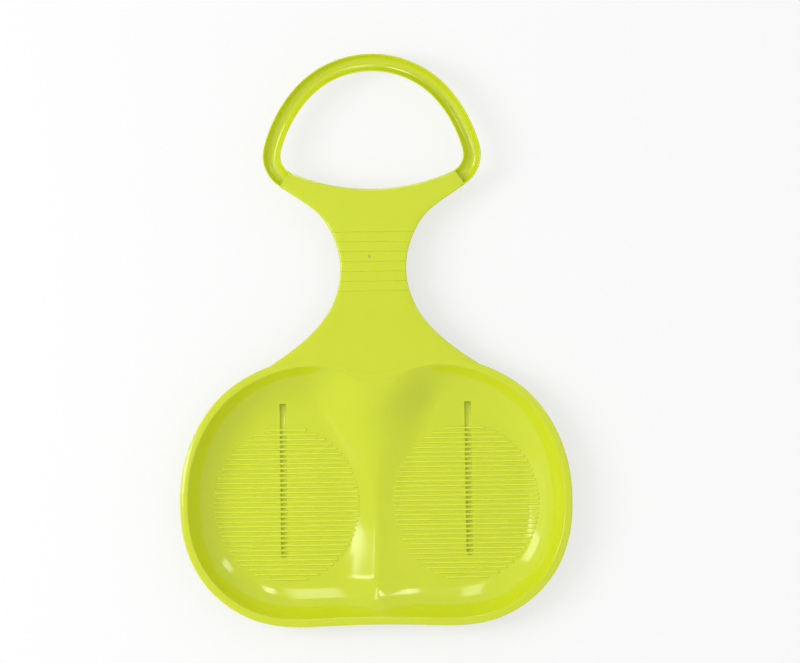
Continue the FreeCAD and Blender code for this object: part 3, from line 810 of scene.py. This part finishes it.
def add_floor():
    """Pale floor that looks nearly white to the camera and keeps the shadow."""
    bm = bmesh.new()
    bmesh.ops.create_grid(bm, x_segments=1, y_segments=1, size=6.0)
    floor = shown(bm, "floor")
    material = bpy.data.materials.new("pale_floor")
    material.use_nodes = True
    nodes, links = material.node_tree.nodes, material.node_tree.links
    shader = nodes["Principled BSDF"]
    shader.inputs["Base Color"].default_value = (0.86, 0.86, 0.86, 1.0)
    shader.inputs["Roughness"].default_value = 0.9
    glow = nodes.new("ShaderNodeEmission")
    path = nodes.new("ShaderNodeLightPath")
    share = nodes.new("ShaderNodeMath")
    share.operation = "MULTIPLY"
    share.inputs[1].default_value = 0.6
    mix = nodes.new("ShaderNodeMixShader")
    links.new(path.outputs["Is Camera Ray"], share.inputs[0])
    links.new(share.outputs[0], mix.inputs[0])
    links.new(shader.outputs[0], mix.inputs[1])
    links.new(glow.outputs[0], mix.inputs[2])
    links.new(mix.outputs[0], nodes["Material Output"].inputs["Surface"])
    floor.data.materials.append(material)


def add_lamp(name, place, target, width, height, power, mirrored_only=False):
    """Flat lamp, either for the light it gives or only for its reflection in the gloss."""
    lamp = bpy.data.lights.new(name, "AREA")
    lamp.shape = "RECTANGLE"
    lamp.size, lamp.size_y = width, height
    lamp.energy = power
    item = bpy.data.objects.new(name, lamp)
    item.location = place
    item.rotation_euler = (Vector(target) - Vector(place)).to_track_quat("-Z", "Y").to_euler()
    item.visible_diffuse = not mirrored_only
    item.visible_glossy = mirrored_only
    bpy.context.scene.collection.objects.link(item)


def add_light():
    """Even room light, a soft panel on the left, and lamps that only the gloss mirrors."""
    world = bpy.data.worlds.new("studio")
    world.use_nodes = True
    nodes, links = world.node_tree.nodes, world.node_tree.links
    path = nodes.new("ShaderNodeLightPath")
    level = nodes.new("ShaderNodeMapRange")
    level.inputs["To Min"].default_value = 0.79
    level.inputs["To Max"].default_value = 0.9
    links.new(path.outputs["Is Glossy Ray"], level.inputs["Value"])
    links.new(level.outputs["Result"], nodes["Background"].inputs["Strength"])
    nodes["Background"].inputs["Color"].default_value = (1, 1, 1, 1)
    bpy.context.scene.world = world
    add_lamp("left_panel", (-1.9, 0.0, 1.8), (0, -0.08, 0), 0.9, 1.6, 30)
    add_lamp("left_window", (-1.9, 0.0, 1.6), (0, -0.08, 0), 1.4, 1.8, 4, True)
    add_lamp("ridge_box", (-1.22, 0.3, 2.9), (0, -0.2, 0), 0.26, 1.1, 6.2, True)
    add_lamp("front_strip", (-0.2, 2.02, 1.97), (-0.07, -0.24, 0), 0.42, 1.6, 6.8, True)
    add_lamp("left_box", (-1.96, 1.02, 1.74), (0.15, -0.22, 0), 0.9, 1.2, 15.0, True)
    add_lamp("spot_box", (0.45, 1.95, 1.9), (0.04, -0.25, 0), 0.3, 0.8, 5.5, True)
    add_lamp("right_box", (1.8, 1.46, 1.42), (-0.15, -0.23, 0), 0.4, 0.8, 4.6, True)


def add_camera():
    """Long lens nearly straight above, so that the picture's width is 0.778 m at the aim."""
    distance, tilt, roll, picture_width = 3.4, math.radians(6.0), math.radians(0.8), 0.778
    aim = Vector((0.0253, 0.0054, 0.032))
    back = Vector((0, -math.sin(tilt), math.cos(tilt)))
    camera = bpy.data.cameras.new("camera")
    camera.sensor_width = 36.0
    camera.lens = camera.sensor_width * distance / picture_width
    item = bpy.data.objects.new("camera", camera)
    item.location = aim + back * distance
    turn = back.to_track_quat("Z", "Y").to_matrix()
    item.rotation_euler = (turn @ Matrix.Rotation(-roll, 3, "Z")).to_euler()
    bpy.context.scene.collection.objects.link(item)
    bpy.context.scene.camera = item


groups = [mould_surface(), flow_tint(), scuffs(), sole_wear()]
plastic = moulded_plastic("lime_polyethylene", groups, 0.09, 0.2)
# The ribs mix in a paler tone: painted highlight standing for the light that their rounded tops catch, not a
# colour of the plastic.
rib_plastic_painted_light = moulded_plastic("lime_polyethylene_painted_highlight", groups, 0.34, 0.45, (0.80, 0.88, 0.06, 1.0), 0.35)
gate_plastic = moulded_plastic("sheared_lime_polyethylene", groups, 0.5, 0.6, (0.30, 0.30, 0.006, 1.0), 0.5)
make_seat(plastic)
make_rim(plastic)
make_neck(plastic)
make_hoop(plastic)
make_ribs(-1, "left_ribs", "left_seat_ribs", rib_plastic_painted_light)
make_ribs(1, "right_ribs", "right_seat_ribs", rib_plastic_painted_light)
make_runner(-1, "left_glide", "left_runner", plastic)
make_runner(1, "right_glide", "right_runner", plastic)
make_gate_mark(gate_plastic)
add_floor()
add_light()
add_camera()
bpy.context.scene.view_settings.view_transform = "Standard"
